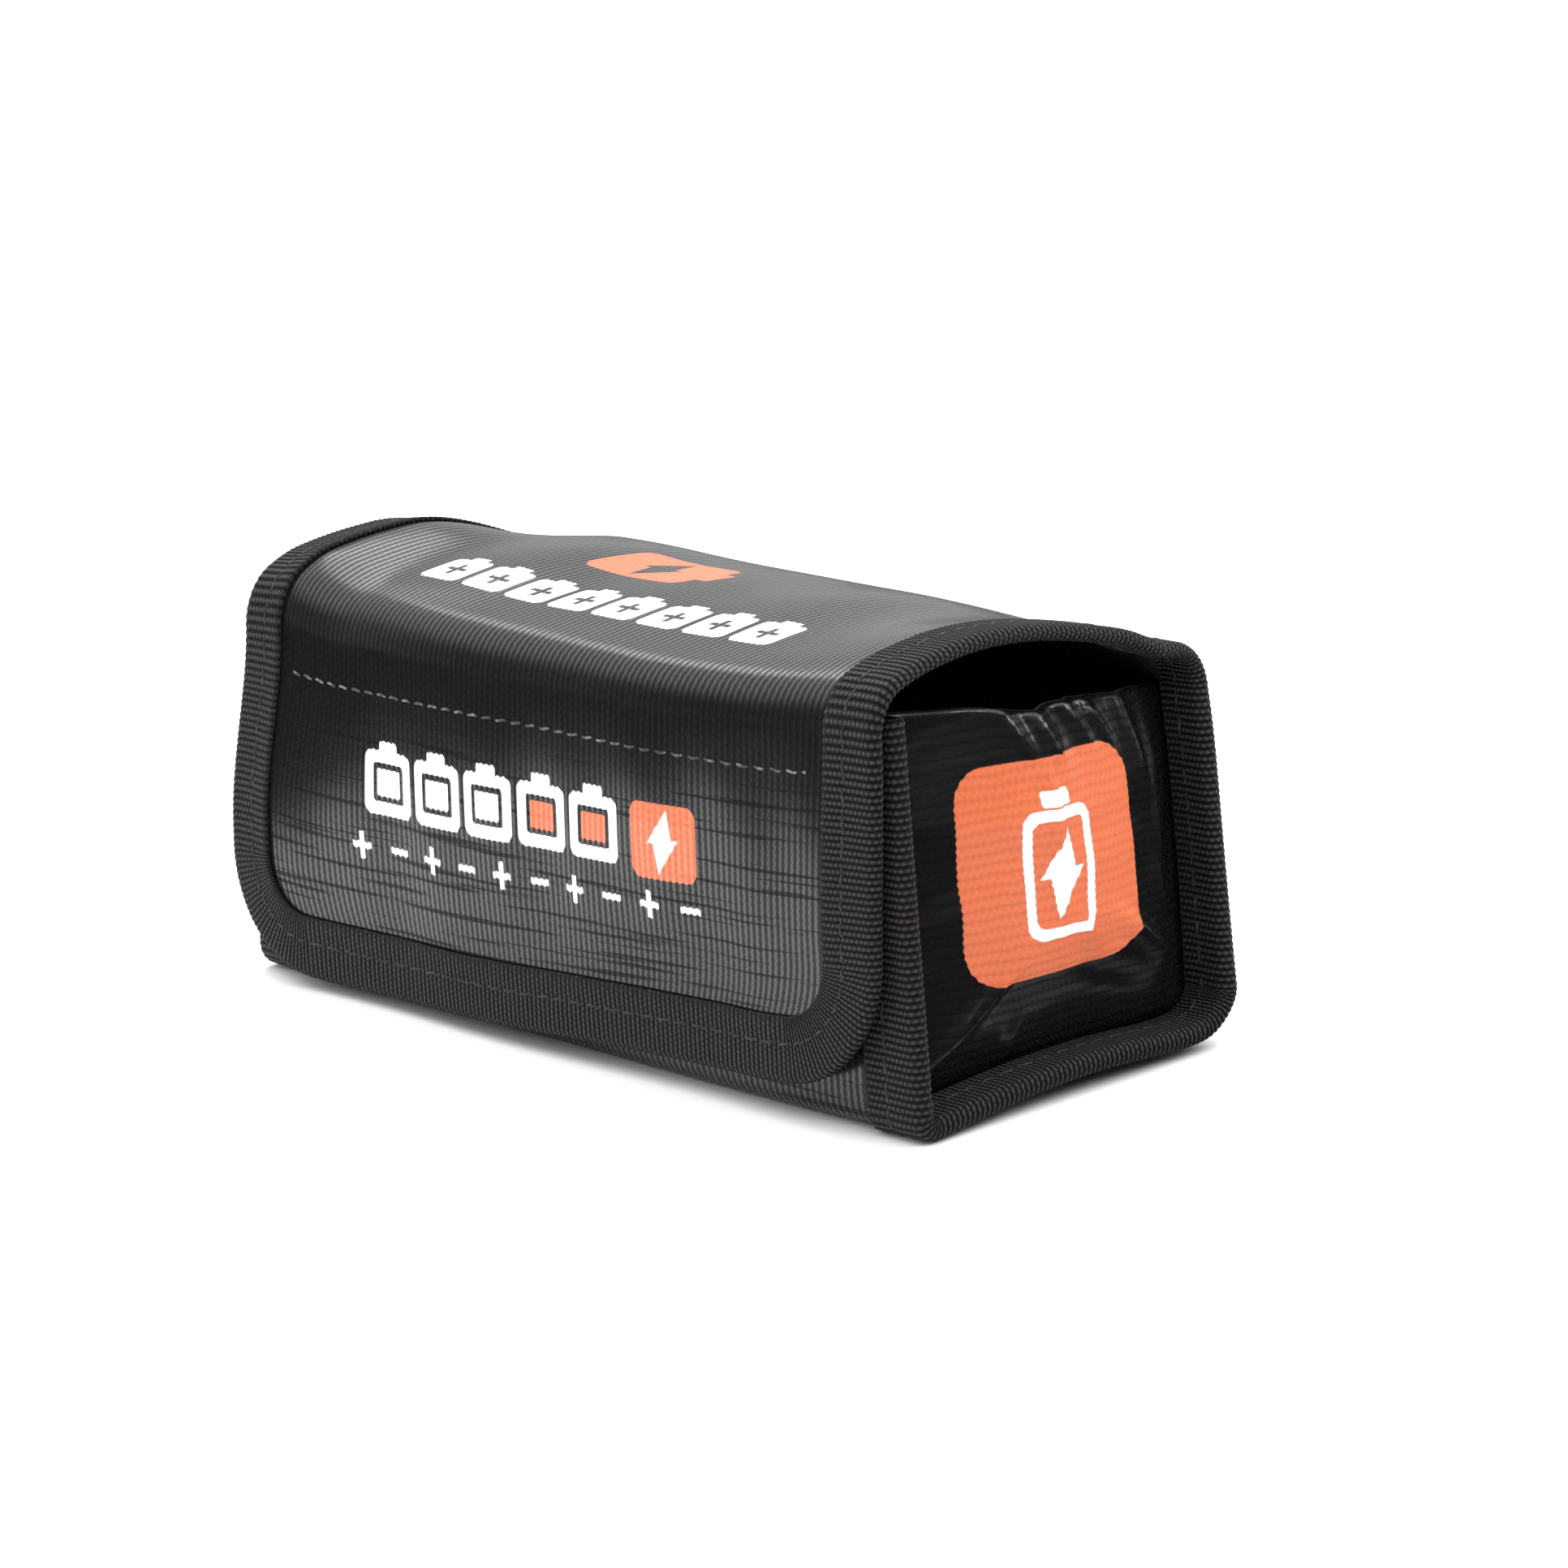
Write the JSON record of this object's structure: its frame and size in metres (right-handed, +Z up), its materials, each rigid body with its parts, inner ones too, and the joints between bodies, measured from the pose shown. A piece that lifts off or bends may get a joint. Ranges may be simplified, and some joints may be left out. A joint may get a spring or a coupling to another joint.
{
  "type": "lipo safe bag",
  "caption": "Soft box-shaped fire-resistant battery bag with taped edges, ridged end gussets, a fold-back lid and a front flap closed by hook and loop.",
  "frame": {"origin": "centre of the bounding box's bottom, on the surface the bag stands on", "axes": "+X along the length, -Y towards the front where the flap hangs, +Z up"},
  "size_m": [0.16, 0.0792, 0.0722],
  "materials": {
    "coated_cloth": "black coated glass cloth, satin gloss over a fine square weave, with white and orange screen print",
    "lining_cloth": "dark grey woven glass lining, matt",
    "binding_tape": "matt black woven binding tape with a ribbed edge",
    "hook_tape": "black nylon hook tape",
    "loop_tape": "black nylon loop tape, fuzzy",
    "sewing_thread": "black polyester sewing thread"
  },
  "bodies": {
    "bag": {"front_panel_outer": "coated_cloth", "front_panel_lining": "lining_cloth", "bottom_panel_outer": "coated_cloth", "bottom_panel_lining": "lining_cloth", "back_panel_outer": "coated_cloth", "back_panel_lining": "lining_cloth", "left_gusset_outer": "coated_cloth", "left_gusset_lining": "lining_cloth", "front_left_tape": "binding_tape", "bottom_left_tape": "binding_tape", "back_left_tape": "binding_tape", "left_seam_stitches": "sewing_thread", "right_gusset_outer": "coated_cloth", "right_gusset_lining": "lining_cloth", "front_right_tape": "binding_tape", "bottom_right_tape": "binding_tape", "back_right_tape": "binding_tape", "right_seam_stitches": "sewing_thread", "loop_strip": "loop_tape", "loop_strip_stitches": "sewing_thread", "front_hem_stitches": "sewing_thread"},
    "lid": {"lid_outer": "coated_cloth", "lid_lining": "lining_cloth", "lid_left_tape": "binding_tape", "lid_right_tape": "binding_tape", "lid_stitches": "sewing_thread"},
    "flap": {"flap_outer": "coated_cloth", "flap_lining": "lining_cloth", "flap_tape": "binding_tape", "flap_tape_stitches": "sewing_thread", "hook_strip": "hook_tape", "hook_strip_stitches": "sewing_thread"}
  },
  "joints": [
    {"name": "lid_fold", "type": "hinge", "parent": "bag", "child": "lid", "pos_m": [0, 0.03764, 0.06518], "axis": [-1, 0, 0], "range_deg": [0, 180]},
    {"name": "flap_fold", "type": "hinge", "parent": "lid", "child": "flap", "pos_m": [0, -0.0383, 0.06624], "axis": [-1, 0, 0], "range_deg": [0, 170]}
  ]
}
